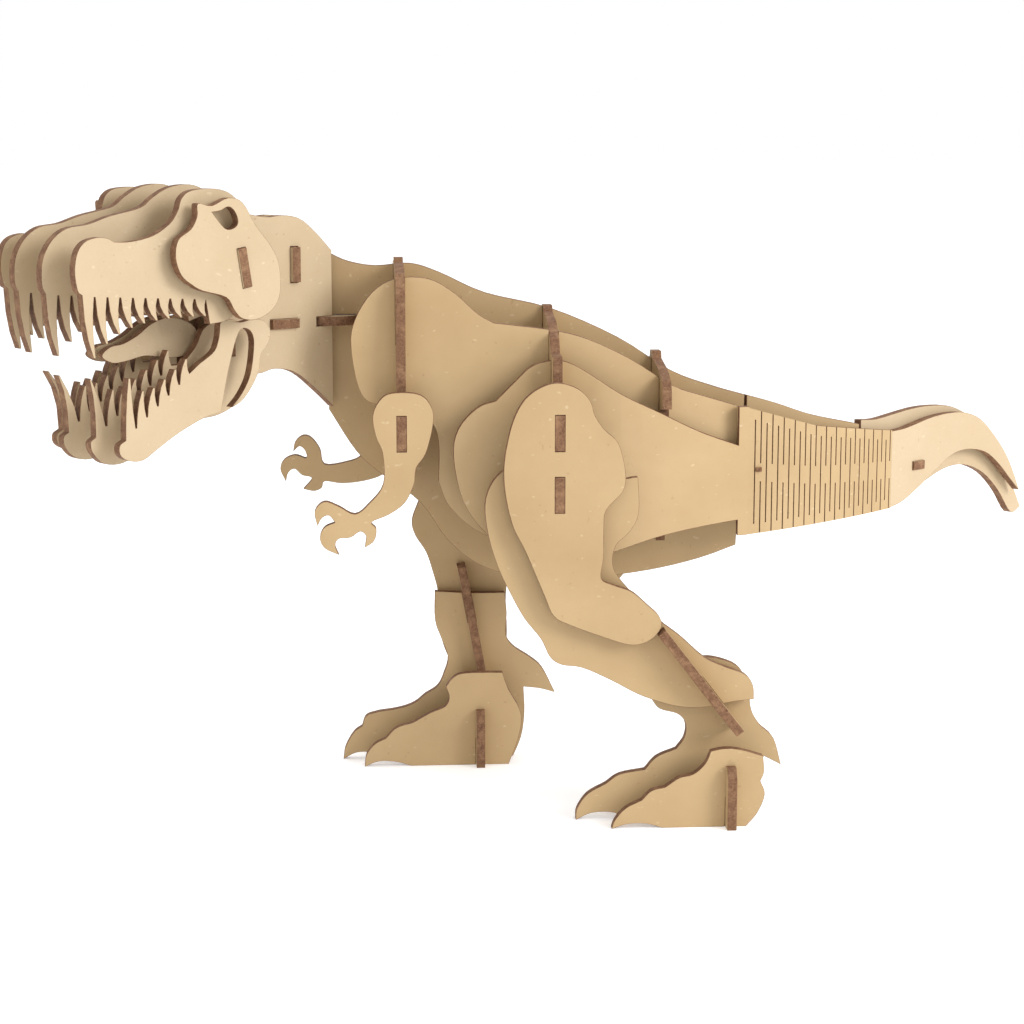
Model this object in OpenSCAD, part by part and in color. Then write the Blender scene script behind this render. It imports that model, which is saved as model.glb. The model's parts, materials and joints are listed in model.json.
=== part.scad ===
// Slot-together tyrannosaurus puzzle of flat board, standing with its head turned and tail swung.
// X runs towards the tail, -Y is the animal's left side, +Z is up, and the feet stand on z = 0.

/* [Board] */
// Thickness of the sheet every piece is cut from
board = 4; // [3.6:0.1:4.2]
// Clearance across each slot
slot_gap = 0.2; // [0.1:0.05:0.4]

/* [Pose] */
// Turn of the head towards the animal's left, at rest
head_turn = 38; // [30:1:40]
// Swing of the tail towards the animal's right, at rest
tail_swing = 38; // [34:1:40]

/* [Body] */
// Half distance between the two torso side plates
torso_y = 32; // [31:0.5:33]
// Half distance between the two hip plates
hip_y = 44; // [43:0.5:45]
// Half distance between the two arms
arm_y = 46; // [46:0.5:48]
// Half distance between the two foot plates
foot_y = 52; // [52:0.5:52.5]
// Half distance between the two leg plates
leg_y = 58; // [57.5:0.5:58.5]
// Half distance between the two thigh plates
thigh_y = 64; // [63.5:0.5:64.5]
// Distance from a foot plate to its side toes
toe_pitch = 14; // [13:0.5:15]

/* [Head] */
// Half distance between the inner jaw plates
inner_y = 10.5; // [10:0.5:11]
// Half distance between the outer lower jaw plates
outer_low_y = 24; // [23:0.5:24]
// Half distance between the outer upper jaw plates
outer_top_y = 28.5; // [28.5:0.5:30]
// Half distance between the cheeks
cheek_y = 36; // [35:0.5:38]
// Half distance between the neck plates
neck_y = 4.8; // [4.8:0.1:5.4]
// Half distance between the tongue plates
tongue_y = 4.5; // [4.2:0.1:5]

/* [Hidden] */

// The origin is the middle of the bounding box, on the floor
shift_x = -23.11;
shift_y = 10.15;
// Joint axes, before that shift
neck_x = -80;
tail_x = 141;
// Round end of the level neck bridge, and the height of its underside
bridge_r = 12;
bridge_z = 211.5;
// Places of the three cross ribs along the body
shoulder_x = -50;
hip_x = 15.5;
rear_x = 64;
// Room for a cut that goes right through
far_cut = 300;
gap = board + slot_gap;
tan_board = [0.80, 0.66, 0.45];
pale_board = [0.88, 0.76, 0.57];
// Start of the left living hinge: x, distance from the middle, and heading
hinge_start = [102, 20, 17];
// End of both hinges and half distance between the side plates, in the tail's own frame
hinge_end_x = 38.2;
side_tail_y = 6;
// Foot ribs of the back foot and of the forward foot
foot_rib_x = [89, -12.5];
// Middle, lean and half length of each shin rib
shin_left = [76, 63, -37.5, 28];
shin_right = [-15.5, 66, -10.5, 28];

// ---- Smooth outlines -------------------------------------------------------------------
// A point is [x, z], or [x, z, 1] for a sharp corner.
function corner(p) = len(p) == 3;
function flat_point(p) = [p[0], p[1]];
function slope(a, p, b, on_to) = corner(p) ? on_to : (flat_point(b) - flat_point(a)) / 2;
function hermite(p, q, m, n, t) =
    (2 * pow(t, 3) - 3 * pow(t, 2) + 1) * p + (pow(t, 3) - 2 * pow(t, 2) + t) * m
    + (3 * pow(t, 2) - 2 * pow(t, 3)) * q + (pow(t, 3) - pow(t, 2)) * n;
// Four steps for a curved stretch and one for a straight one
function steps(p, q) = corner(p) && corner(q) ? 1 : 4;
function smooth(pts) = [
    for (i = [0 : len(pts) - 1])
        let (
            a = pts[(i + len(pts) - 1) % len(pts)],
            p = pts[i],
            q = pts[(i + 1) % len(pts)],
            b = pts[(i + 2) % len(pts)],
            chord = flat_point(q) - flat_point(p),
            m = slope(a, p, q, chord),
            n = slope(p, q, b, chord)
        )
        for (k = [0 : steps(p, q) - 1]) hermite(flat_point(p), flat_point(q), m, n, k / steps(p, q))
];
function mirrored(half) = concat(half, [for (i = [len(half) - 1 : -1 : 0]) [-half[i][0], half[i][1]]]);

// ---- Flat plates -------------------------------------------------------------------------
module placed() {
    translate([shift_x, shift_y, 0]) children();
}
module in_head() {
    placed() translate([neck_x, 0, 0]) rotate([0, 0, head_turn]) children();
}
module in_tail() {
    placed() translate([tail_x, 0, 0]) rotate([0, 0, tail_swing]) children();
}
// Upright plate along the body, with its middle at y
module side_plate(y, pts) {
    translate([0, y + board / 2, 0]) rotate([90, 0, 0]) linear_extrude(board) polygon(smooth(pts));
}
// Upright plate across the body, with its middle at x
module cross_plate(x, pts) {
    translate([x - board / 2, 0, 0]) rotate([90, 0, 90]) linear_extrude(board) polygon(pts);
}
// Slot through a side plate, for a cross plate at x between two heights
module rib_slot(x, low, high) {
    translate([x - gap / 2, -far_cut / 2, low]) cube([gap, far_cut, high - low]);
}
// Slot through a cross plate, for a side plate at y between two heights
module plate_slot(y, low, high, width = gap) {
    translate([-far_cut / 2, y - width / 2, low]) cube([far_cut, width, high - low]);
}
// Leaning slot for a shin rib, from its middle to one end; way is 1 for up and -1 for down
module shin_slot(rib, way) {
    translate([rib[0], 0, rib[1]]) rotate([0, rib[2], 0])
        translate([-gap / 2, -far_cut / 2, way > 0 ? 0 : -far_cut / 4]) cube([gap, far_cut, far_cut / 4]);
}

// ---- Torso -------------------------------------------------------------------------------
spine = [[-81, 243, 1], [-72, 239], [-60, 237], [-45, 238], [-32, 234], [-12, 225], [17, 218], [47, 205],
    [71, 190], [90, 183], [104, 179, 1], [101, 111, 1], [84, 105], [62, 100], [36, 97], [8, 97], [-14, 103],
    [-29, 115], [-41, 132], [-57, 144], [-69, 155], [-81, 174, 1]];
torso = [[-71, 205], [-69, 216], [-62, 227], [-52, 233], [-38, 233], [-27, 227], [-17, 218], [-10, 214, 1],
    [14, 211], [30, 207], [49, 198], [68, 186], [82, 181], [98, 176, 1], [98, 134, 1], [60, 126],
    [20, 120], [-8, 121], [-20, 126], [-30, 136], [-34, 146, 1], [-34, 164], [-38, 173], [-48, 179],
    [-62, 180], [-68, 187]];
// The last 5 mm of the hip plate is as tall as the hinge that it runs into
hip = [[-28, 158], [-26, 170], [-18, 179], [-10, 182, 1], [-2, 190], [6, 197], [17, 199], [27, 195],
    [44, 184], [62, 175], [80, 166], [98, 159, 1], [98, 176, 1], [104, 176, 1], [104, 119, 1], [98, 119, 1],
    [98, 126, 1], [78, 124], [59, 121], [30, 114], [0, 115], [-14, 125], [-24, 139]];

module spine_plate() color(tan_board) placed() difference() {
    side_plate(0, spine);
    rib_slot(shoulder_x, 190, 260);
    rib_slot(hip_x, 160, 240);
    rib_slot(rear_x, 150, 220);
    // The neck bridge turns freely in this one
    translate([neck_x - bridge_r + 2, -20, bridge_z - 0.3]) cube([2 * bridge_r - 1, 40, board + 0.6]);
}

// Plan of a plate that runs straight and then closes in on the spine: middle line, left side
function bezier(a, b, c, d, t) = pow(1 - t, 3) * a + 3 * t * pow(1 - t, 2) * b
    + 3 * t * t * (1 - t) * c + pow(t, 3) * d;
function heading(angle) = [cos(angle), sin(angle)];
function plan_line(from, a0, to, a1, reach, n) = [
    for (k = [0 : n]) bezier(from, from + reach * heading(a0), to - reach * heading(a1), to, k / n)
];
function side_step(line, i) =
    let (
        p = line[max(i - 1, 0)],
        q = line[min(i + 1, len(line) - 1)],
        d = (q - p) / norm(q - p)
    )
    [-d[1], d[0]];
// Plan of a board along a line whose two ends are cut square to the headings a0 and a1
function square_to(angle) = [-sin(angle), cos(angle)];
function step_at(line, i, a0, a1) =
    i == 0 ? square_to(a0) : i == len(line) - 1 ? square_to(a1) : side_step(line, i);
function strip(line, a0, a1) = concat(
    [for (i = [0 : len(line) - 1]) line[i] + step_at(line, i, a0, a1) * board / 2],
    [for (i = [len(line) - 1 : -1 : 0]) line[i] - step_at(line, i, a0, a1) * board / 2]);
module bent_plate(line, a1, pts) {
    intersection() {
        translate([0, 0, 50]) linear_extrude(200) polygon(strip(line, 0, a1));
        translate([0, far_cut / 2, 0]) rotate([90, 0, 0]) linear_extrude(far_cut) polygon(smooth(pts));
    }
}
torso_end_turn = 15;
torso_line = concat([[-90, -torso_y]], plan_line([20, -torso_y], 0, [100, -15], torso_end_turn, 30, 8));
// Distance of the closing-in torso plate from the middle, where the rear rib crosses it
rear_torso_y = -lookup(rear_x, torso_line);
hip_line = concat([[-50, -hip_y]],
    plan_line([22, -hip_y], 0, [hinge_start[0], -hinge_start[1]], hinge_start[2], 30, 8));
module torso_plate() difference() {
    bent_plate(torso_line, torso_end_turn, torso);
    rib_slot(shoulder_x, 205, 260);
    rib_slot(hip_x, 180, 240);
    rib_slot(rear_x, 160, 220);
}
module hip_plate() difference() {
    bent_plate(hip_line, hinge_start[2], hip);
    rib_slot(hip_x, 156, 240);
}
module torso_plate_left() color(tan_board) placed() torso_plate();
module torso_plate_right() color(tan_board) placed() mirror([0, 1, 0]) torso_plate();
module hip_plate_left() color(tan_board) placed() hip_plate();
module hip_plate_right() color(tan_board) placed() mirror([0, 1, 0]) hip_plate();

// Cross ribs, given as the left half of their outline from the top middle down
shoulder_half = [[4, 240.5], [5, 238.5], [24, 238], [36, 235], [41, 228], [43, 205], [42, 176],
    [arm_y + 2, 176], [arm_y + 2, 161], [38, 161], [35, 150], [22, 145]];
hip_half = [[4, 219.5], [5, 217], [24, 214], [38, 208], [42, 202], [54, 201], [55, 178], [thigh_y + 2, 178],
    [thigh_y + 2, 163], [55, 163], [55, 152], [thigh_y + 2, 152], [thigh_y + 2, 137], [54, 137], [48, 128],
    [30, 116]];
rear_half = [[4, 199], [5, 196], [24, 193], [36, 189], [39, 184], [39, 177], [30.5, 176], [30, 150], [28, 130],
    [22, 117]];
// Room on both faces of a plate that crosses the rib at a slant
slant_room = 3;
module shoulder_rib() color(tan_board) placed() difference() {
    cross_plate(shoulder_x, mirrored(shoulder_half));
    plate_slot(0, 100, 190);
    for (side = [-1, 1]) plate_slot(side * torso_y, 100, 205);
}
module hip_rib() color(tan_board) placed() difference() {
    cross_plate(hip_x, mirrored(hip_half));
    plate_slot(0, 100, 160);
    for (side = [-1, 1]) {
        plate_slot(side * torso_y, 100, 180);
        plate_slot(side * hip_y, 100, 156);
    }
}
module rear_rib() color(tan_board) placed() difference() {
    cross_plate(rear_x, mirrored(rear_half));
    plate_slot(0, 100, 150);
    for (side = [-1, 1]) plate_slot(side * rear_torso_y, 100, 160, board + slant_room);
}
// Peg across both living hinges where they start, through the tail root plate
root_peg_x = 107.5;
root_peg_z = 148;
root_peg_w = 2.6;
root_peg_h = 2;
root_peg_reach = 21.5;
module peg_bar(width, reach, height) {
    translate([root_peg_x - width / 2, -reach, root_peg_z - height / 2]) cube([width, 2 * reach, height]);
}
// The short middle plate between the spine and the tail
tail_root = [[0, 179, 1], [14, 175], [32, 169], [55, 164, 1], [55, 125, 1], [28, 120], [0, 116, 1]];
tail_root_x = 104.6;
tail_root_turn = 12;
module tail_root_plate() color(tan_board) placed() difference() {
    translate([tail_root_x, 0, 0]) rotate([0, 0, tail_root_turn]) side_plate(0, tail_root);
    peg_bar(root_peg_w + slot_gap, far_cut, root_peg_h + slot_gap);
}

// ---- Arms --------------------------------------------------------------------------------
arm_near = [[-52, 186], [-58, 184], [-62, 177], [-61, 168], [-58, 160], [-58, 147], [-64, 139], [-70, 134.5],
    [-77, 138], [-83, 140], [-87, 136], [-86, 129.5, 1], [-84, 133], [-81, 134], [-78.5, 131, 1], [-83, 129],
    [-85, 124.5], [-83, 120], [-77, 117, 1], [-78.5, 121], [-77, 124], [-72, 124.5], [-68, 127], [-65.5, 125],
    [-66, 120, 1], [-62, 123], [-61, 128], [-63, 131], [-56, 134], [-49, 139], [-45, 147], [-44, 154],
    [-40, 160], [-37, 171], [-37, 179], [-42, 185]];
arm_far = [[-52, 186], [-58, 184], [-61, 176], [-60, 166], [-62, 156], [-67, 147], [-74, 144], [-84, 143],
    [-86, 150], [-90, 155.5], [-94, 156.5], [-97.5, 153.5], [-98.5, 149, 1], [-95.5, 151.5], [-93, 149.5],
    [-92.5, 146], [-97.5, 147.5], [-102.5, 145.5], [-104.5, 141], [-102, 135, 1], [-101, 139], [-98, 141],
    [-94.5, 138], [-90, 136.5], [-94, 131.5, 1], [-89, 130.5], [-85.5, 132], [-84, 135], [-76, 134],
    [-66, 135], [-57, 138], [-50, 145], [-44, 153], [-40, 161], [-37.5, 171], [-38, 180], [-44, 185.5]];
module arm(y, pts) difference() {
    side_plate(y, pts);
    rib_slot(shoulder_x, 161 - slot_gap, 176 + slot_gap);
}
module arm_left() color(tan_board) placed() arm(-arm_y, arm_near);
module arm_right() color(tan_board) placed() arm(arm_y, arm_far);

// ---- Legs --------------------------------------------------------------------------------
thigh = [[15, 191.5], [23, 189], [28, 184], [30, 178], [34, 172], [40, 166], [43, 154], [42, 146], [35, 138],
    [34, 130], [34, 118], [33, 109], [38, 106], [46, 103], [53, 97], [58, 92], [58.5, 87], [54, 82], [46, 80],
    [33, 84], [20, 89], [13, 93], [9, 102], [1, 121], [-4, 131], [-7, 143], [-8, 154], [-7, 164], [-4, 176],
    [1, 185], [8, 190]];
leg_back = [[8, 180], [2, 170], [-4, 158], [-12, 150], [-15.5, 140], [-14, 126], [-10, 113], [-5, 102], [1, 91],
    [8, 82], [12, 74], [17, 70.5], [26, 69], [38, 63.5], [50, 57], [61, 53], [70, 51], [80, 51], [90, 53],
    [100, 54, 1], [99.5, 60], [96, 65], [86, 69], [78, 73], [68, 82], [59, 89], [50, 98], [42, 107], [38.5, 114],
    [40, 122], [46, 128], [49.5, 136], [49, 151, 1], [40, 152], [30, 172], [18, 180]];
leg_forward = [[5, 180], [-10, 172], [-24, 156], [-34, 140], [-40, 124], [-43.5, 114], [-42, 107], [-37, 99],
    [-34, 90], [-31.5, 80], [-31.5, 70], [-30, 58], [-27.5, 50], [-24, 44], [-16, 40], [-6, 42], [0, 48],
    [1.5, 60], [1, 78], [4, 96], [12, 112], [30, 128], [42, 140], [40, 160], [28, 174], [16, 180]];
// The front of each foot and toe is a claw that stands on its tip, and its top is bumped by knuckles
foot_back = [[79, 71.5], [88, 70], [95, 66], [99, 57, 1], [100, 48], [104, 41], [110, 35], [113.5, 23, 1],
    [106, 27, 1], [103, 20], [101, 10], [98, 0, 1], [46, 0, 1], [40, 3], [31, 3], [24, 0, 1], [24.5, 5],
    [29, 11.5], [37, 16, 1], [43, 20], [54, 22, 1], [59, 27.5], [67.5, 31, 1], [71, 36], [71.5, 42], [68, 46.5],
    [60, 49], [56, 54, 1], [64, 62], [72, 68]];
foot_forward = [[-33, 81, 1], [-16, 80], [0, 80, 1], [1, 70], [0.5, 60], [4, 54], [12, 48.5], [18, 43],
    [24, 31, 1], [17, 33], [9, 34, 1], [9.5, 22], [8, 10], [4, 0, 1], [-58, 0, 1], [-64, 3], [-71, 3],
    [-77, 0, 1], [-76, 6], [-72, 13], [-68, 16, 1], [-66, 21], [-60, 23, 1], [-50, 24.5], [-43, 27],
    [-38, 31, 1], [-32, 35], [-29, 41], [-27, 49], [-30, 58], [-33, 67]];
// Side toes lie across the middle of the foot; these are the back foot's and the forward foot's
toe_back = [[38, 0, 1], [39.5, 4], [44, 9], [51, 12.5, 1], [55, 16.5], [61, 18, 1], [67, 22], [73, 23.5],
    [78, 28], [80.5, 33.5, 1], [86, 34.5], [93, 34], [103, 31, 1], [103.5, 24], [102, 20, 1], [104, 14],
    [101, 6], [96, 0, 1], [60, 0, 1], [53, 2], [45, 2]];
toe_forward = [[-67, 0, 1], [-66, 6], [-62, 11], [-57, 13.5, 1], [-52, 18.5], [-44, 21, 1], [-36, 25.5],
    [-29, 28.5], [-27, 33], [-28.5, 38, 1], [-25, 42.5], [-19, 44.5], [-2, 44.5, 1], [1, 36], [6, 27], [7, 20],
    [5, 11], [1, 0, 1], [-45, 0, 1], [-52, 2], [-60, 2.5]];

module thigh_plate(y) difference() {
    side_plate(y, thigh);
    rib_slot(hip_x, 163 - slot_gap, 178 + slot_gap);
    rib_slot(hip_x, 137 - slot_gap, 152 + slot_gap);
}
module leg_plate(y, pts, rib) difference() {
    side_plate(y, pts);
    rib_slot(hip_x, 163 - slot_gap, 178 + slot_gap);
    rib_slot(hip_x, 137 - slot_gap, 152 + slot_gap);
    shin_slot(rib, -1);
}
module foot_plate(y, pts, rib, rib_x) difference() {
    side_plate(y, pts);
    shin_slot(rib, 1);
    rib_slot(rib_x, -1, 13);
}
module toe_plate(y, pts, rib_x) difference() {
    side_plate(y, pts);
    rib_slot(rib_x, -1, 13);
}
// Leaning cross rib that joins a leg plate and a foot plate and reaches past the leg plate's outer face
module shin_rib(rib, side, past) {
    inner = side * (foot_y - 8);
    outer = side * (leg_y + board / 2 + past);
    translate([rib[0], 0, rib[1]]) rotate([0, rib[2], 0]) difference() {
        translate([-board / 2, min(inner, outer), -rib[3]])
            cube([board, abs(outer - inner), 2 * rib[3]]);
        plate_slot(side * leg_y, -slot_gap / 2, far_cut);
        plate_slot(side * foot_y, -far_cut, slot_gap / 2);
    }
}
module foot_rib(x, side) difference() {
    cross_plate(x, [for (p = [[-22, 0], [22, 0], [22, 22], [19, 27], [-19, 27], [-22, 22]])
        [side * foot_y + p[0], p[1]]]);
    for (step = [-1, 0, 1]) plate_slot(side * foot_y + step * toe_pitch, 13, 60);
}
module thigh_plate_left() color(pale_board) placed() thigh_plate(-thigh_y);
module thigh_plate_right() color(tan_board) placed() thigh_plate(thigh_y);
module leg_plate_left() color(tan_board) placed() leg_plate(-leg_y, leg_back, shin_left);
module leg_plate_right() color(tan_board) placed() leg_plate(leg_y, leg_forward, shin_right);
module foot_plate_left() color(tan_board) placed() foot_plate(-foot_y, foot_back, shin_left, foot_rib_x[0]);
module foot_plate_right() color(tan_board) placed() foot_plate(foot_y, foot_forward, shin_right, foot_rib_x[1]);
module shin_rib_left() color(tan_board) placed() shin_rib(shin_left, -1, 8);
module shin_rib_right() color(tan_board) placed() shin_rib(shin_right, 1, 3.5);
module toe_outer_left() color(pale_board) placed() toe_plate(-foot_y - toe_pitch, toe_back, foot_rib_x[0]);
module toe_inner_left() color(tan_board) placed() toe_plate(-foot_y + toe_pitch, toe_back, foot_rib_x[0]);
module toe_outer_right() color(tan_board) placed() toe_plate(foot_y + toe_pitch, toe_forward, foot_rib_x[1]);
module toe_inner_right() color(pale_board) placed() toe_plate(foot_y - toe_pitch, toe_forward, foot_rib_x[1]);
module foot_rib_left() color(tan_board) placed() foot_rib(foot_rib_x[0], -1);
module foot_rib_right() color(tan_board) placed() foot_rib(foot_rib_x[1], 1);

// ---- Neck and skull, seen with x = 0 at the neck's turning axis ----------------------------
neck_upper = [[-84, 256], [-72, 261], [-56, 261.5], [-39, 259], [-30, 259.5], [-21, 258], [-13, 252.5],
    [-4, 244, 1]];
neck_front = [[-66, 198], [-69, 206], [-66, 218], [-64, 225], [-72, 227], [-84, 228]];
// The left neck plate reaches lower than the right one
neck_left = concat(neck_upper,
    [[-4, 176, 1], [-12, 183], [-24, 192], [-35, 194.5], [-44, 193], [-54, 196]], neck_front);
neck_right = concat(neck_upper, [[-4, 194, 1], [-16, 201], [-30, 204], [-42, 201], [-54, 199]], neck_front);
cheek = [[-93.5, 266], [-87, 265], [-79, 268], [-72, 266], [-66, 257], [-59, 249], [-55, 242], [-54, 234],
    [-55, 227], [-59, 222], [-66, 219], [-73, 219.5], [-77, 223], [-81, 228.5], [-92, 231.5], [-97, 234],
    [-102, 238], [-104.5, 245], [-103, 252], [-97, 256], [-94, 261]];
eye = [[-87, 262.5, 1], [-83, 263], [-79, 264.5], [-76, 262.5], [-74.5, 258.5], [-76.5, 256], [-81, 256]];

// Teeth: each is a fang whose front edge bulges and whose tip sweeps back over its rear root
function arc3(a, c, b, n) = [
    for (k = [0 : n]) let (t = k / n) pow(1 - t, 2) * a + 2 * t * (1 - t) * c + t * t * b
];
function between(a, b, t) = a + (b - a) * t;
function sharp(pts) = [for (p = pts) [p[0], p[1], 1]];
// Blunt width of a tip
tip_w = 0.8;
function fang(front, rear, tip) = concat(
    arc3(rear, [between(rear[0], front[0], 0.28), between(rear[1], tip[1], 0.45)], tip, 3),
    arc3(tip - [tip_w, 0], [front[0] + 0.3, between(front[1], tip[1], 0.6)], front, 3));
// Root k of a row that starts at the front of the jaw
function root(row, k) = [row[0] + row[1] * k, row[2] + row[3] * k];
// Rear to front along a row. sweep places a tip between its front root (0) and its rear root (1), and
// first_sweep does so for the front tooth, which leans forward where it is below 0
function tooth_row(row, count, long, short, fade, sweep, way, first_sweep) = sharp([
    for (k = [count - 1 : -1 : 0])
        let (
            front = root(row, k),
            rear = root(row, k + 1) - [0.7, 0],
            length = short + (long - short) * exp(-k / fade),
            tip = [between(front[0], rear[0], k == 0 ? first_sweep : sweep), front[1] + way * length]
        )
        for (p = fang(front, rear, tip)) p
]);
// Each row is the first root's x, the step in x, the first root's z and the step in z
upper_outer_row = [-142.5, 5.75, 231, -0.35];
upper_inner_row = [-148, 5.9, 231, -0.35];
lower_outer_row = [-122, 5.2, 173.5, 4];
lower_inner_row = [-127.5, 5.3, 174, 3.7];

upper_outer = concat(tooth_row(upper_outer_row, 10, 24, 6.5, 2.6, 1, -1, 1),
    [[-142.5, 231.5, 1], [-144.5, 233.5], [-145.5, 241], [-144, 248], [-140.5, 252], [-135, 253.5],
    [-130.5, 253], [-127.5, 251.5, 1], [-120, 251.5], [-110, 253.5], [-102, 258], [-98, 263], [-96, 268], [-91, 271],
    [-80, 271.5], [-72, 269], [-66, 262], [-61, 250], [-61, 238], [-67, 226], [-75, 219], [-84, 217.5, 1]]);
upper_inner = concat(tooth_row(upper_inner_row, 11, 24, 6.5, 2.6, 1, -1, 1),
    [[-148, 231.5, 1], [-149.5, 235], [-149, 244], [-145, 251.5], [-138, 256.5], [-128, 258], [-118, 261],
    [-104, 264], [-98, 268], [-90, 272], [-80, 273], [-72, 270], [-64, 262], [-59, 248], [-62, 232],
    [-70, 222], [-82, 217.5, 1]]);
function lower_outer(lean) = concat(tooth_row(lower_outer_row, 6, 24, 10, 0.9, 0.8, 1, lean),
    [[-122, 173, 1], [-125, 171], [-124.5, 167], [-120, 164.5], [-114, 164.5], [-107, 168.5], [-97, 174],
    [-85, 179], [-76, 181], [-67, 184], [-61, 190], [-57, 197], [-56, 203], [-52, 208], [-51, 213],
    [-54, 217], [-60, 218], [-66, 217], [-75, 218], [-76.5, 212], [-79, 206], [-86, 201.5, 1]]);
function lower_inner(lean) = concat(tooth_row(lower_inner_row, 7, 23, 10, 0.9, 0.8, 1, lean),
    [[-127.5, 173.5, 1], [-130, 171.5], [-129, 167], [-124, 162.5], [-115, 162], [-104, 167], [-92, 173],
    [-80, 176.5], [-68, 178], [-58, 183], [-53, 192], [-51, 203], [-53, 212], [-60, 217], [-68, 217],
    [-75, 214], [-79, 207], [-86, 200, 1]]);
// Open notch at the back of the outer lower jaw plates; a prong curls down behind it
jaw_window = [[-67, 213], [-62, 214], [-59.5, 210], [-60, 202], [-62, 194], [-66, 187.5], [-71, 182.5, 1],
    [-71, 178, 1], [-77, 178, 1], [-75, 187], [-72, 199]];
tongue = [[-120, 205], [-116, 208.5], [-110, 209.5], [-103, 212.5], [-96, 217], [-88, 219], [-80, 217.5],
    [-75, 214], [-73, 208], [-77, 204], [-84, 202.5], [-92, 203], [-100, 204], [-108, 202.5], [-115, 202]];
// Middle and lean of the skull rib
skull_at = [-72, 240];
skull_lean = -9.5;

module skull_bar(size) {
    translate([skull_at[0], 0, skull_at[1]]) rotate([0, skull_lean, 0]) cube(size, center = true);
}
module skull_slot() {
    skull_bar([gap, far_cut, 16 + slot_gap]);
}
// Short rib across the neck, and the rib through the back of the jaw: heights of each
neck_rib_z = [231, 246];
jaw_neck_rib_z = [202, 212];
neck_rib_x = -24;
jaw_neck_rib_x = -61.5;
// Wide head of the neck bridge, which locks in the neck plates
lock_x = [-37, -23];
module neck_plate(y, pts) difference() {
    side_plate(y, pts);
    skull_slot();
    rib_slot(neck_rib_x, neck_rib_z[0] - slot_gap, neck_rib_z[1] + slot_gap);
    rib_slot(jaw_neck_rib_x, jaw_neck_rib_z[0] - slot_gap, jaw_neck_rib_z[1] + slot_gap);
    // Two level slots for the neck bridge: its locking head, and its round end
    translate([lock_x[0] - 0.1, -20, bridge_z - 0.1]) cube([lock_x[1] - lock_x[0] + 0.2, 40, gap]);
    translate([-bridge_r - 0.6, -20, bridge_z - 0.1]) cube([2 * bridge_r, 40, gap]);
}
module neck_plate_left() color(pale_board) in_head() neck_plate(-neck_y, neck_left);
module neck_plate_right() color(pale_board) in_head() neck_plate(neck_y, neck_right);
module neck_rib() color(tan_board) in_head()
    cross_plate(neck_rib_x, mirrored([[neck_y + 4, neck_rib_z[1]], [neck_y + 4, neck_rib_z[0]]]));
// Level plate whose round end turns in the spine plate's front slot
neck_bar_w = 5.2;
module neck_bridge() color(tan_board) in_head() translate([0, 0, bridge_z]) union() {
    cylinder(h = board, r = bridge_r, $fn = 64);
    translate([lock_x[0], -neck_bar_w / 2, 0]) cube([30, neck_bar_w, board]);
    translate([lock_x[0], -neck_y - 4, 0]) cube([lock_x[1] - lock_x[0], 2 * (neck_y + 4), board]);
}
module skull_rib() color(tan_board) in_head() skull_bar([board, 2 * cheek_y + 6, 16]);
module cheek_plate(y) difference() {
    side_plate(y, cheek);
    translate([0, y + board, 0]) rotate([90, 0, 0]) linear_extrude(2 * board) polygon(smooth(eye));
    skull_slot();
}
module cheek_left() color(pale_board) in_head() cheek_plate(-cheek_y);
module cheek_right() color(pale_board) in_head() cheek_plate(cheek_y);
module upper_jaw(y, pts) difference() {
    side_plate(y, pts);
    skull_slot();
}
module upper_jaw_outer_left() color(pale_board) in_head() upper_jaw(-outer_top_y, upper_outer);
module upper_jaw_inner_left() color(pale_board) in_head() upper_jaw(-inner_y, upper_inner);
module upper_jaw_inner_right() color(pale_board) in_head() upper_jaw(inner_y, upper_inner);
module upper_jaw_outer_right() color(pale_board) in_head() upper_jaw(outer_top_y, upper_outer);

// ---- Lower jaw and tongue ------------------------------------------------------------------
// Cross ribs of the lower jaw: place and heights; they end in pockets inside the outer plates
front_rib_x = -100;
rear_rib_x = -81;
front_rib_z = [175.5, 183];
rear_rib_z = [184, 196];
tongue_rib_top = 209;
module rib_pocket(x, z) {
    reach = outer_low_y + slot_gap;
    translate([x - gap / 2, -reach, z[0] - slot_gap]) cube([gap, 2 * reach, z[1] - z[0] + 2 * slot_gap]);
}
module lower_outer_plate(y, lean) difference() {
    side_plate(y, lower_outer(lean));
    translate([0, y + board, 0]) rotate([90, 0, 0]) linear_extrude(2 * board) polygon(smooth(jaw_window));
    rib_pocket(front_rib_x, front_rib_z);
    rib_pocket(rear_rib_x, rear_rib_z);
}
module lower_inner_plate(y, lean) difference() {
    side_plate(y, lower_inner(lean));
    rib_pocket(front_rib_x, front_rib_z);
    rib_pocket(rear_rib_x, rear_rib_z);
    rib_slot(jaw_neck_rib_x, jaw_neck_rib_z[0] - slot_gap, jaw_neck_rib_z[1] + slot_gap);
}
module lower_jaw_outer_left() color(pale_board) in_head() lower_outer_plate(-outer_low_y, 0.6);
module lower_jaw_inner_left() color(pale_board) in_head() lower_inner_plate(-inner_y, -0.3);
module lower_jaw_inner_right() color(pale_board) in_head() lower_inner_plate(inner_y, -0.7);
module lower_jaw_outer_right() color(pale_board) in_head() lower_outer_plate(outer_low_y, -1.3);
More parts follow.
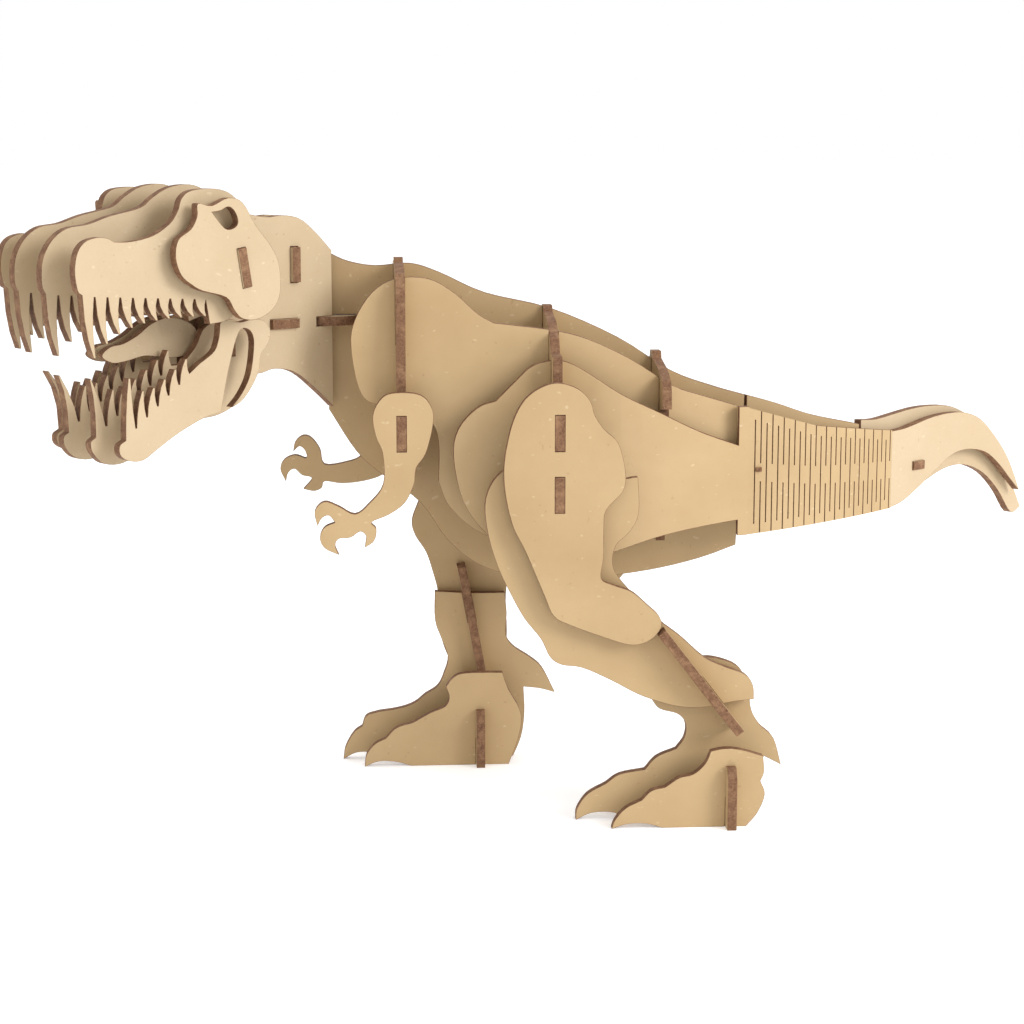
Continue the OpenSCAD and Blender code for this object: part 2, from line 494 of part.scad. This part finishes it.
// The tongue plates stand on the rear jaw rib, whose raised middle ends in a pocket in each
module tongue_plate(y) difference() {
    side_plate(y, tongue);
    translate([rear_rib_x - gap / 2, -tongue_y, rear_rib_z[1] - 6])
        cube([gap, 2 * tongue_y, tongue_rib_top + slot_gap - rear_rib_z[1] + 6]);
}
module tongue_left() color(pale_board) in_head() tongue_plate(-tongue_y);
module tongue_right() color(pale_board) in_head() tongue_plate(tongue_y);
module jaw_rib_front() color(tan_board) in_head()
    cross_plate(front_rib_x, mirrored([[outer_low_y, front_rib_z[1]], [outer_low_y, front_rib_z[0]]]));
module jaw_rib_rear() color(tan_board) in_head()
    cross_plate(rear_rib_x, mirrored([[tongue_y - slot_gap, tongue_rib_top],
        [tongue_y - slot_gap, rear_rib_z[1]], [outer_low_y, rear_rib_z[1]], [outer_low_y, rear_rib_z[0]]]));
module jaw_rib_neck() color(tan_board) in_head()
    cross_plate(jaw_neck_rib_x, mirrored([[inner_y + 2, jaw_neck_rib_z[1]], [inner_y + 2, jaw_neck_rib_z[0]]]));

// ---- Tail --------------------------------------------------------------------------------
// Middle lines of the two living hinges, in plan; they end on the tail's side plates
function tail_to_body(p) = [tail_x, 0] + p[0] * heading(tail_swing) + p[1] * heading(tail_swing + 90);
left_hinge_line = plan_line([hinge_start[0], -hinge_start[1]], hinge_start[2],
    tail_to_body([hinge_end_x, -side_tail_y]), tail_swing, 26, 14);
right_hinge_line = plan_line([hinge_start[0], hinge_start[1]], -hinge_start[2],
    tail_to_body([hinge_end_x, side_tail_y]), tail_swing, 26, 14);
// Heights of the hinge board at its start, at its waist and at its end
hinge_top = [176, 165.5, 159.5];
hinge_bottom = [119, 124];
hinge_waist = 0.45;
// Upright board along a line in plan, with a waisted top edge
module hinge(line, way) {
    n = len(line) - 1;
    from = line[0][0] - 2;
    to = line[n][0] + 3;
    difference() {
        intersection() {
            translate([0, 0, 50]) linear_extrude(200) polygon(strip(line, way * hinge_start[2], tail_swing));
            translate([0, far_cut / 2, 0]) rotate([90, 0, 0]) linear_extrude(far_cut)
                polygon([[from, hinge_bottom[0]], [to, hinge_bottom[1]], [to, hinge_top[2]],
                    [between(from, to, hinge_waist), hinge_top[1]], [from, hinge_top[0]]]);
        }
        peg_bar(root_peg_w + slot_gap, far_cut, root_peg_h + slot_gap);
    }
}
tail_side = [[hinge_end_x + 0.05, hinge_top[2], 1], [47, 160], [56, 161.5], [67, 163.5], [79, 164.5], [92, 164],
    [105, 160], [117, 151], [127, 141], [134, 131], [139, 122, 1], [131, 128.5], [121, 137], [110, 143.5],
    [96, 146], [84, 144.5], [72, 138.5], [57, 130.5], [47, 126], [hinge_end_x + 0.05, hinge_bottom[1], 1]];
tail_centre = [[23, 165.5, 1], [34, 165], [48, 166.5], [63, 168], [77, 168], [90, 166.5], [104, 161],
    [118, 151], [131, 137], [142, 123], [149, 112, 1], [141, 110], [130, 122], [117, 132], [101, 137.5], [86, 137],
    [70, 132], [54, 127], [38, 123.5], [23, 122, 1]];
tail_peg_at = [54, 140];
tail_peg_l = 8;
module tail_slot() {
    translate([tail_peg_at[0] - 0.1, -20, tail_peg_at[1] - 0.1]) cube([tail_peg_l + 0.2, 40, gap]);
}
module tail_hinge_left() color(pale_board) placed() hinge(left_hinge_line, 1);
module tail_hinge_right() color(pale_board) placed() hinge(right_hinge_line, -1);
module tail_plate(y, pts) difference() {
    side_plate(y, pts);
    tail_slot();
}
module tail_plate_left() color(pale_board) in_tail() tail_plate(-side_tail_y, tail_side);
module tail_plate_right() color(pale_board) in_tail() tail_plate(side_tail_y, tail_side);
module tail_centre_plate() color(pale_board) in_tail() tail_plate(0, tail_centre);
module tail_peg() color(tan_board) in_tail() translate([tail_peg_at[0], -side_tail_y - 3, tail_peg_at[1]])
    cube([tail_peg_l, 2 * (side_tail_y + 3), board]);
module root_peg() color(tan_board) placed() peg_bar(root_peg_w, root_peg_reach, root_peg_h);

spine_plate();
torso_plate_left();
torso_plate_right();
hip_plate_left();
hip_plate_right();
shoulder_rib();
hip_rib();
rear_rib();
tail_root_plate();
arm_left();
arm_right();
thigh_plate_left();
thigh_plate_right();
leg_plate_left();
leg_plate_right();
foot_plate_left();
foot_plate_right();
shin_rib_left();
shin_rib_right();
toe_outer_left();
toe_inner_left();
toe_outer_right();
toe_inner_right();
foot_rib_left();
foot_rib_right();
neck_plate_left();
neck_plate_right();
neck_rib();
neck_bridge();
skull_rib();
cheek_left();
cheek_right();
upper_jaw_outer_left();
upper_jaw_inner_left();
upper_jaw_inner_right();
upper_jaw_outer_right();
lower_jaw_outer_left();
lower_jaw_inner_left();
lower_jaw_inner_right();
lower_jaw_outer_right();
tongue_left();
tongue_right();
jaw_rib_front();
jaw_rib_rear();
jaw_rib_neck();
tail_hinge_left();
tail_hinge_right();
tail_plate_left();
tail_plate_right();
tail_centre_plate();
tail_peg();
root_peg();
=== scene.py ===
import json
import math

import bmesh
import bpy
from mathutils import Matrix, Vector


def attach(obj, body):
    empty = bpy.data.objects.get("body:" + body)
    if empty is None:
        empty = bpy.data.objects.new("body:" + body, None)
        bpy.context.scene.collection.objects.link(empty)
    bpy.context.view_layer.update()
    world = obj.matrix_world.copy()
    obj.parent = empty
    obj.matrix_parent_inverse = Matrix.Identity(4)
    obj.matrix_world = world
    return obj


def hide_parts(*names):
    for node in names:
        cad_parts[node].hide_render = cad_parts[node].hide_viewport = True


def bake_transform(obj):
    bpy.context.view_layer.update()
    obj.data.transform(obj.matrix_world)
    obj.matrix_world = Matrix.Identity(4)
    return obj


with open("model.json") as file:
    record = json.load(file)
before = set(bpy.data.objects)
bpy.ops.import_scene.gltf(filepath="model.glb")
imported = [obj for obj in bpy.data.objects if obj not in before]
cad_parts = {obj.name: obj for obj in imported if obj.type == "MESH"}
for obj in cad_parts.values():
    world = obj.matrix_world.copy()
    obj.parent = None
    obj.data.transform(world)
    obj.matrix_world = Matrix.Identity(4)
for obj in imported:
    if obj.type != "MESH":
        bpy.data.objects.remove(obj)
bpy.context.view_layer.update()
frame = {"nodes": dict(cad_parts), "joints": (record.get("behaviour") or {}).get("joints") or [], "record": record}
MM = 0.001


# ---- Camera: nearly side on, a little in front of the middle and a little above ----------
AIM = Vector((-23.1, 10.2, 126.8)) * MM
DISTANCE = 0.985
# Degrees turned from straight across towards the tail, and degrees looking down
LOOK_YAW = 4.0
LOOK_DOWN = 9.34
# Lens and sensor width in millimetres, and the farthest distance seen in metres
FOCAL = 77.3
SENSOR = 36
FARTHEST = 50


def link(name, data):
    """A new object in the scene."""
    thing = bpy.data.objects.new(name, data)
    bpy.context.scene.collection.objects.link(thing)
    return thing


def make_camera():
    data = bpy.data.cameras.new("camera")
    data.lens = FOCAL
    data.sensor_width = SENSOR
    data.clip_end = FARTHEST
    cam = link("camera", data)
    yaw, down = math.radians(LOOK_YAW), math.radians(LOOK_DOWN)
    ahead = Vector((math.sin(yaw) * math.cos(down), math.cos(yaw) * math.cos(down), -math.sin(down)))
    cam.location = AIM - ahead * DISTANCE
    cam.rotation_euler = (math.pi / 2 - down, 0, -yaw)
    bpy.context.scene.camera = cam


make_camera()


# ---- Materials ---------------------------------------------------------------------------
# The mix node's sockets for its two colours and for the mixed colour
FIRST_COLOUR, SECOND_COLOUR, MIXED_COLOUR = 6, 7, 2


class Shader:
    """A material's node tree, with short calls for the nodes used here."""

    def __init__(self, name):
        self.material = bpy.data.materials.new(name)
        self.material.use_nodes = True
        self.nodes = self.material.node_tree.nodes
        self.links = self.material.node_tree.links
        self.surface = self.nodes["Principled BSDF"]
        self.coords = self.nodes.new("ShaderNodeTexCoord").outputs["Object"]

    def put(self, value, socket):
        if isinstance(value, bpy.types.NodeSocket):
            self.links.new(value, socket)
        else:
            socket.default_value = value

    def noise(self, scale, detail=3.0, roughness=0.55, stretch=None):
        node = self.nodes.new("ShaderNodeTexNoise")
        node.inputs["Scale"].default_value = scale
        node.inputs["Detail"].default_value = detail
        node.inputs["Roughness"].default_value = roughness
        vector = self.coords
        if stretch:
            mapping = self.nodes.new("ShaderNodeMapping")
            mapping.inputs["Scale"].default_value = stretch
            self.links.new(self.coords, mapping.inputs["Vector"])
            vector = mapping.outputs["Vector"]
        self.links.new(vector, node.inputs["Vector"])
        return node.outputs["Fac"]

    def ramp(self, value, low, high, to_low=0.0, to_high=1.0):
        node = self.nodes.new("ShaderNodeMapRange")
        self.put(value, node.inputs["Value"])
        for name, number in (("From Min", low), ("From Max", high), ("To Min", to_low), ("To Max", to_high)):
            node.inputs[name].default_value = number
        return node.outputs["Result"]

    def mix(self, fac, a, b):
        node = self.nodes.new("ShaderNodeMix")
        node.data_type = "RGBA"
        self.put(fac, node.inputs["Factor"])
        self.put(a, node.inputs[FIRST_COLOUR])
        self.put(b, node.inputs[SECOND_COLOUR])
        return node.outputs[MIXED_COLOUR]

    def times(self, a, b):
        node = self.nodes.new("ShaderNodeMath")
        node.operation = "MULTIPLY"
        self.put(a, node.inputs[0])
        self.put(b, node.inputs[1])
        return node.outputs[0]

    def tint(self, tone, mask, amount, colour):
        """Mixes a colour into the tone where the mask is high, up to an amount."""
        return self.mix(self.times(mask, amount), tone, colour)

    def attribute(self, name):
        node = self.nodes.new("ShaderNodeAttribute")
        node.attribute_name = name
        return node.outputs["Fac"]

    def bump(self, height, strength, distance):
        node = self.nodes.new("ShaderNodeBump")
        node.inputs["Strength"].default_value = strength
        node.inputs["Distance"].default_value = distance
        self.links.new(height, node.inputs["Height"])
        self.links.new(node.outputs["Normal"], self.surface.inputs["Normal"])

    def finish(self, colour, roughness, specular=0.35):
        self.put(colour, self.surface.inputs["Base Color"])
        self.put(roughness, self.surface.inputs["Roughness"])
        self.surface.inputs["Specular IOR Level"].default_value = specular
        return self.material


def rgb(red, green, blue):
    return (red, green, blue, 1.0)


FIBRE = rgb(0.40, 0.26, 0.12)
FLECK = rgb(0.30, 0.17, 0.08)
PALE_FLECK = rgb(0.72, 0.60, 0.42)
SMUDGE = rgb(0.38, 0.24, 0.12)
SCORCH = rgb(0.20, 0.10, 0.045)
CHAR_DARK = rgb(0.105, 0.047, 0.024)
CHAR_LIGHT = rgb(0.22, 0.115, 0.062)
MOTTLE = rgb(0.31, 0.18, 0.095)
EDGE_FIBRE = rgb(0.50, 0.33, 0.19)


def board_face(name, light, dark):
    """Smooth fibreboard: soft cloudy tone, fine fibres, sparse flecks, and a scorched rim."""
    s = Shader(name)
    cloud = s.ramp(s.noise(22, 4), 0.35, 0.65)
    tone = s.mix(cloud, dark, light)
    fibre = s.ramp(s.noise(900, 4, 0.7), 0.3, 0.7)
    tone = s.tint(tone, fibre, 0.16, FIBRE)
    fleck = s.ramp(s.noise(420, 2, 0.5), 0.70, 0.76)
    tone = s.tint(tone, fleck, 0.45, FLECK)
    pale_fleck = s.ramp(s.noise(300, 1, 0.4, (1.0, 1.0, 1.7)), 0.72, 0.78)
    tone = s.tint(tone, pale_fleck, 0.22, PALE_FLECK)
    smudge = s.ramp(s.noise(60, 3, 0.6), 0.58, 0.75)
    tone = s.tint(tone, smudge, 0.12, SMUDGE)
    ragged = s.times(s.attribute("scorch"), s.ramp(s.noise(650, 2), 0.25, 0.75, 0.45, 1.1))
    tone = s.mix(s.ramp(ragged, 0.25, 1.0), tone, SCORCH)
    s.bump(s.noise(1500, 3, 0.6), 0.10, 0.00012)
    return s.finish(tone, s.ramp(s.noise(90, 3), 0.3, 0.7, 0.52, 0.68))


def board_edge():
    """Laser-cut edge: charred brown to purple-brown, with scorch streaks and lighter fibre."""
    s = Shader("board_edge")
    streak = s.ramp(s.noise(1100, 4, 0.7), 0.35, 0.7)
    tone = s.mix(streak, CHAR_DARK, CHAR_LIGHT)
    mottle = s.ramp(s.noise(260, 3, 0.6), 0.45, 0.7)
    tone = s.tint(tone, mottle, 0.6, MOTTLE)
    fibre = s.ramp(s.noise(2200, 2, 0.6), 0.62, 0.74)
    tone = s.tint(tone, fibre, 0.45, EDGE_FIBRE)
    s.bump(s.noise(1400, 4, 0.7), 0.35, 0.0003)
    return s.finish(tone, s.ramp(streak, 0, 1, 0.62, 0.85), 0.2)


FACE = board_face("board_face", rgb(0.435, 0.305, 0.158), rgb(0.385, 0.262, 0.130))
# A paler, less saturated copy of the same board, with painted light standing in for the key light's glare on the
# head and tail
PAINTED_LIT_FACE = board_face("board_face_painted_lit", rgb(0.475, 0.37, 0.24), rgb(0.44, 0.335, 0.208))
EDGE = board_edge()


# ---- Where the two living hinges start and end, in plan ----------------------------------------
SWING = math.radians(38)
HINGE_TURN = math.radians(17)
# Millimetres from the tail's axis: ahead to the start, and behind to the end
START_AHEAD = 39.0
END_BEHIND = 38.2
# Millimetres from the middle line to each hinge, at the start and at the end
START_HALF = 20.0
END_HALF = 6.0
JOINT = {j["name"]: Vector(j["pos_m"]) for j in frame["joints"]}


def heading(angle):
    return Vector((math.cos(angle), math.sin(angle)))


def hinge_ends(side):
    """Point and direction at the start and at the end of the hinge; side is -1 for the left."""
    pivot = JOINT["tail_swing"].xy
    start = pivot + Vector((-START_AHEAD, side * START_HALF)) * MM
    end = pivot + heading(SWING) * END_BEHIND * MM
    end = end + heading(SWING + math.pi / 2) * side * END_HALF * MM
    return (start, heading(-side * HINGE_TURN)), (end, heading(SWING))


# ---- Plates: each CAD board gets a scorched rim, where it has room for one, and eased edges ----
RIM = 0.4 * MM
EASE = 0.16 * MM
# Share of the area that an outline may lose or gain before it counts as folded over itself
FOLD_LIMIT = 0.001
# Corners turned by more than this are eased, and a bent board is smooth up to the next
EASE_FROM = math.radians(50)
SHARP_FROM = math.radians(25)
# Faces this close to level with each other are joined, and points this close in metres
FLAT_WITHIN = math.radians(0.3)
SAME_POINT = 1e-6
# How well a normal has to match for a face to be broad, on a flat board and on a bent one
FLAT_MATCH = 0.9
BENT_MATCH = 0.85
BENT_TILT = 0.05
# How near a point lies to a seam's plane, and to its place in plan, to be on it
SEAM_DEPTH = 0.15 * MM
SEAM_REACH = 3 * MM
BENT = {"torso_plate_left", "torso_plate_right", "hip_plate_left", "hip_plate_right"}


def board_axis(bm):
    """The direction square to the board: the normal with the most area."""
    area = {}
    for f in bm.faces:
        n = f.normal
        key = max((n, -n), key=lambda v: (round(v.x, 3), round(v.y, 3), round(v.z, 3)))
        key = tuple(round(c, 2) for c in key)
        area[key] = area.get(key, 0) + f.calc_area()
    return Vector(max(area, key=area.get)).normalized()


def is_face(f, node, axis):
    if node in BENT:
        return abs(f.normal.z) < BENT_TILT and abs(f.normal.y) > BENT_MATCH
    return abs(f.normal.dot(axis)) > FLAT_MATCH


def seam_planes(node):
    """Places where this board runs on into the next one, as points and directions in plan."""
    side = -1 if node.endswith("left") else 1
    if node.startswith("hip_plate"):
        return [hinge_ends(side)[0]]
    if node.startswith("tail_plate"):
        return [hinge_ends(side)[1]]
    return []


def at_seam(place, seams):
    return any(abs((place.xy - spot).dot(ahead)) < SEAM_DEPTH and (place.xy - spot).length < SEAM_REACH
               for spot, ahead in seams)


def inset_rim(bm, face_test, width):
    """Insets the broad faces by a rim, and gives the faces of the rim."""
    broad = [f for f in bm.faces if face_test(f)]
    made = bmesh.ops.inset_region(bm, faces=broad, thickness=width, use_even_offset=False, use_boundary=True)
    return broad, set(made["faces"])


def crosses_itself(bm):
    """True if an inset outline folds over itself, which a thin claw or tooth can make it do."""
    whole = sum(f.calc_area() for f in bm.faces)
    cut_up = sum((b.vert.co - a.vert.co).cross(c.vert.co - a.vert.co).length / 2
                 for a, b, c in bm.calc_loop_triangles())
    return abs(whole - cut_up) > FOLD_LIMIT * whole


def dress(bm, face_test, seams):
    """Adds the scorched rim, sorts faces into board face (0) and cut edge (1), and weights the bevel."""
    for width in (RIM, RIM / 2, RIM / 4):
        trial = bm.copy()
        broad, rim = inset_rim(trial, face_test, width)
        if not crosses_itself(trial):
            break
    else:
        trial = bm.copy()
        broad, rim = [f for f in trial.faces if face_test(f)], set()
    bm.free()
    bm = trial
    faces = rim.union(broad)
    scorch = bm.loops.layers.float.new("scorch")
    inner = {v for f in broad for v in f.verts}
    for f in bm.faces:
        f.material_index = 0 if f in faces else 1
        quiet = f in rim and any(
            at_seam((e.verts[0].co + e.verts[1].co) / 2, seams) for e in f.edges)
        for corner in f.loops:
            corner[scorch] = 0.0 if corner.vert in inner or quiet else 1.0
    weight = bm.edges.layers.float.new("bevel_weight_edge")
    for e in bm.edges:
        bent = len(e.link_faces) == 2 and e.calc_face_angle(0) > EASE_FROM
        middle = (e.verts[0].co + e.verts[1].co) / 2
        e[weight] = 1.0 if bent and not at_seam(middle, seams) else 0.0
    return bm


def made_mesh(name, bm):
    mesh = bpy.data.meshes.new(name)
    bm.to_mesh(mesh)
    bm.free()
    return mesh


def shade_bent(mesh):
    """Smooth along the bend, with the board's corners kept sharp."""
    mesh.shade_smooth()
    mesh.set_sharp_from_angle(angle=SHARP_FROM)


def make_piece(node, body):
    source = frame["nodes"][node]
    bm = bmesh.new()
    bm.from_mesh(source.data)
    bmesh.ops.remove_doubles(bm, verts=bm.verts, dist=SAME_POINT)
    bmesh.ops.dissolve_limit(bm, angle_limit=FLAT_WITHIN, verts=bm.verts, edges=bm.edges)
    bmesh.ops.recalc_face_normals(bm, faces=bm.faces)
    axis = board_axis(bm)
    bm = dress(bm, lambda f: is_face(f, node, axis), seam_planes(node))
    mesh = made_mesh("board_" + node, bm)
    if node in BENT:
        shade_bent(mesh)
    piece = link("board_" + node, mesh)
    # Every body but the torso takes the paler copy, whose colour holds painted light
    mesh.materials.append(FACE if body == "torso" else PAINTED_LIT_FACE)
    mesh.materials.append(EDGE)
    ease = piece.modifiers.new("ease", "BEVEL")
    ease.width = EASE
    ease.segments = 2
    ease.limit_method = "WEIGHT"
    ease.material = 1
    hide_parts(node)
    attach(piece, body)


HINGES = {"tail_hinge_left": -1, "tail_hinge_right": 1}
for body_name, members in frame["record"]["behaviour"]["bodies"].items():
    for member in members:
        if member not in HINGES:
            make_piece(member, body_name)


# ---- Living hinges: boards cut through by alternating rows of fine slots ---------------------
HINGE_CUTS = 28
CUT_WIDTH = 0.5 * MM
BOARD = 4.0 * MM
SHORT_OF_EDGE = 4.4 * MM
BRIDGE = 8.0 * MM
CUT_SCORCH = 0.75
# From each end of the hinge to the middle of the nearest cut
FIRST_CUT = 3.2 * MM
LAST_CUT = 1.2 * MM
# Length of the middle line's curve handles, and the number of steps it is walked in
HANDLE = 26 * MM
PATH_STEPS = 200


def bezier(a, b, c, d, t):
    return a * (1 - t) ** 3 + b * 3 * t * (1 - t) ** 2 + c * 3 * t * t * (1 - t) + d * t ** 3


class Path:
    """The hinge's middle line in plan, walked by length."""

    def __init__(self, side):
        (start, first), (end, last) = hinge_ends(side)
        ends = (start, start + first * HANDLE, end - last * HANDLE, end)
        self.points = [bezier(*ends, k / PATH_STEPS) for k in range(PATH_STEPS + 1)]
        self.length = [0.0]
        for a, b in zip(self.points, self.points[1:]):
            self.length.append(self.length[-1] + (b - a).length)
        self.total = self.length[-1]
        self.start, self.end = start, end

    def at(self, u):
        """Point and left-hand normal at length u."""
        u = min(max(u, 0.0), self.total)
        k = next(i for i in range(1, len(self.length)) if self.length[i] >= u - 1e-12)
        a, b = self.points[k - 1], self.points[k]
        t = (u - self.length[k - 1]) / (self.length[k] - self.length[k - 1])
        d = (b - a).normalized()
        return a.lerp(b, t), Vector((-d.y, d.x))


# The board's top falls to a waist and on to its end, and its bottom rises; heights in millimetres
WAIST = 0.45
HINGE_HEIGHTS = {"top": (176.0, 165.5, 159.5), "bottom": (119.0, 124.0)}
# The CAD node's outline starts this far before the hinge and ends this far past it
OUTLINE_BEFORE = 2 * MM
OUTLINE_PAST = 3 * MM


def hinge_edges(x, x0, x1):
    """Top and bottom height of the hinge board at a place along the body, as the CAD node has them."""
    from_x, to_x = x0 - OUTLINE_BEFORE, x1 + OUTLINE_PAST
    part = (x - from_x) / (to_x - from_x)
    first, waist, last = HINGE_HEIGHTS["top"]
    if part < WAIST:
        upper = first + (waist - first) * part / WAIST
    else:
        upper = waist + (last - waist) * (part - WAIST) / (1 - WAIST)
    low, high = HINGE_HEIGHTS["bottom"]
    return upper * MM, (low + (high - low) * part) * MM


# Rows of a column from the bottom: edge, slot, bridge, slot, edge
ROWS = 5
EDGE_ROWS = (0, 4)
BRIDGE_ROW = 2
# An inner slot stops short of both edges; an open one leaves a bridge in the middle
INNER, OPEN = 0, 1


def cut_levels(top, bottom):
    """Heights where the rows of a column meet."""
    middle = (top + bottom) / 2
    bridge = [middle - BRIDGE / 2, middle + BRIDGE / 2]
    return [bottom, bottom + SHORT_OF_EDGE, *bridge, top - SHORT_OF_EDGE, top]


def hinge_columns(total):
    """Lengths where columns of the board meet, and the kind of slot in each column, or None for board."""
    pitch = (total - FIRST_CUT - LAST_CUT) / (HINGE_CUTS - 1)
    stops = [0.0]
    kinds = []
    for cut in range(HINGE_CUTS):
        middle = FIRST_CUT + cut * pitch
        slot_start = middle - CUT_WIDTH / 2
        slot_end = middle + CUT_WIDTH / 2
        stops += [slot_start - RIM, slot_start, slot_end, slot_end + RIM]
        kinds += [None, None, (INNER, OPEN)[cut % 2], None]
    return stops + [total], kinds + [None]


# Corners of a block's faces, as steps along the hinge and up, and -1 or 1 for the left or right face
LEFT_FACE = ((0, 0, -1), (1, 0, -1), (1, 1, -1), (0, 1, -1))
RIGHT_FACE = ((0, 0, 1), (0, 1, 1), (1, 1, 1), (1, 0, 1))
# The steps to each neighbour, with the corners of the face towards it
SIDES = (
    (-1, 0, ((0, 0, -1), (0, 1, -1), (0, 1, 1), (0, 0, 1))),
    (1, 0, ((1, 0, -1), (1, 0, 1), (1, 1, 1), (1, 1, -1))),
    (0, -1, ((0, 0, -1), (0, 0, 1), (1, 0, 1), (1, 0, -1))),
    (0, 1, ((0, 1, -1), (1, 1, -1), (1, 1, 1), (0, 1, 1))),
)


def hinge_blocks(path):
    """The hinge as a bmesh of blocks of board between the slots."""
    stops, kinds = hinge_columns(path.total)
    bm = bmesh.new()
    scorch = bm.loops.layers.float.new("scorch")
    verts = {}
    column = {}
    for i, u in enumerate(stops):
        spot, normal = path.at(u)
        top, bottom = hinge_edges(spot.x, path.start.x, path.end.x)
        for j, z in enumerate(cut_levels(top, bottom)):
            for half in (-1, 1):
                place = spot + normal * half * BOARD / 2
                verts[i, j, half] = bm.verts.new((place.x, place.y, z))
                column[verts[i, j, half]] = i

    def solid(i, j):
        if not (0 <= i < len(kinds) and 0 <= j < ROWS):
            return False
        if kinds[i] is None:
            return True
        return j in EDGE_ROWS if kinds[i] == INNER else j == BRIDGE_ROW

    def slot_columns(i, j):
        """The ends of a block that lie along a slot, and not at the end of the hinge."""
        along = set()
        if i > 0 and not solid(i - 1, j):
            along.add(i)
        if i + 1 < len(kinds) and not solid(i + 1, j):
            along.add(i + 1)
        return along

    def quad(i, j, corners, material, scorched=()):
        f = bm.faces.new([verts[i + right, j + up, half] for right, up, half in corners])
        f.material_index = material
        for corner in f.loops:
            corner[scorch] = CUT_SCORCH if column[corner.vert] in scorched else 0.0

    for i in range(len(kinds)):
        for j in range(ROWS):
            if not solid(i, j):
                continue
            beside = slot_columns(i, j)
            quad(i, j, LEFT_FACE, 0, beside)
            quad(i, j, RIGHT_FACE, 0, beside)
            for right, up, corners in SIDES:
                if not solid(i + right, j + up):
                    quad(i, j, corners, 1)
    bmesh.ops.delete(bm, geom=[v for v in bm.verts if not v.link_faces], context="VERTS")
    bmesh.ops.recalc_face_normals(bm, faces=bm.faces)
    return bm


def make_hinge(node, side):
    path = Path(side)
    mesh = made_mesh("cut_" + node, hinge_blocks(path))
    shade_bent(mesh)
    mesh.materials.append(FACE)
    mesh.materials.append(EDGE)
    piece = link("cut_" + node, mesh)
    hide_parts(node)
    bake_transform(piece)


for hinge_node, hinge_side in HINGES.items():
    make_hinge(hinge_node, hinge_side)


# ---- Floor, backdrop and light ---------------------------------------------------------------
# The floor's edges in metres, and how strongly it glows
FLOOR_SIDE = 20
FLOOR_NEAR = -10
FLOOR_FAR = 40
FLOOR_GLOW = 0.35
# Name, place, diameter in metres and watts of each round lamp; all point at the middle of the model
MIDDLE = Vector((0.0, 0.0, 0.15))
LAMPS = (
    ("key", (1.8, -1.25, 1.1), 1.2, 42),
    ("fill", (-1.6, -1.2, 0.9), 1.2, 3),
    ("top", (0.0, 0.3, 2.2), 1.8, 8),
)


def floor_paper():
    s = Shader("floor_paper")
    tone = s.mix(s.ramp(s.noise(6, 2), 0.3, 0.7), rgb(0.88, 0.88, 0.88), rgb(0.90, 0.90, 0.90))
    paper = s.finish(tone, 0.9, 0.1)
    s.put(tone, s.surface.inputs["Emission Color"])
    s.surface.inputs["Emission Strength"].default_value = FLOOR_GLOW
    return paper


def make_floor():
    bm = bmesh.new()
    corners = ((-FLOOR_SIDE, FLOOR_NEAR, 0), (FLOOR_SIDE, FLOOR_NEAR, 0),
               (FLOOR_SIDE, FLOOR_FAR, 0), (-FLOOR_SIDE, FLOOR_FAR, 0))
    bm.faces.new([bm.verts.new(c) for c in corners])
    mesh = made_mesh("floor", bm)
    floor = link("floor", mesh)
    mesh.materials.append(floor_paper())


def make_lamp(name, place, size, power):
    data = bpy.data.lights.new(name, "AREA")
    data.shape = "DISK"
    data.size = size
    data.energy = power
    lamp = link(name, data)
    lamp.location = place
    lamp.rotation_euler = (MIDDLE - Vector(place)).to_track_quat("-Z", "Y").to_euler()


def make_world():
    """White studio all round."""
    world = bpy.data.worlds.new("studio")
    world.use_nodes = True
    background = world.node_tree.nodes["Background"]
    background.inputs["Color"].default_value = rgb(1, 1, 1)
    background.inputs["Strength"].default_value = 1.0
    bpy.context.scene.world = world
    bpy.context.scene.view_settings.view_transform = "Standard"


make_floor()
for lamp_facts in LAMPS:
    make_lamp(*lamp_facts)
make_world()
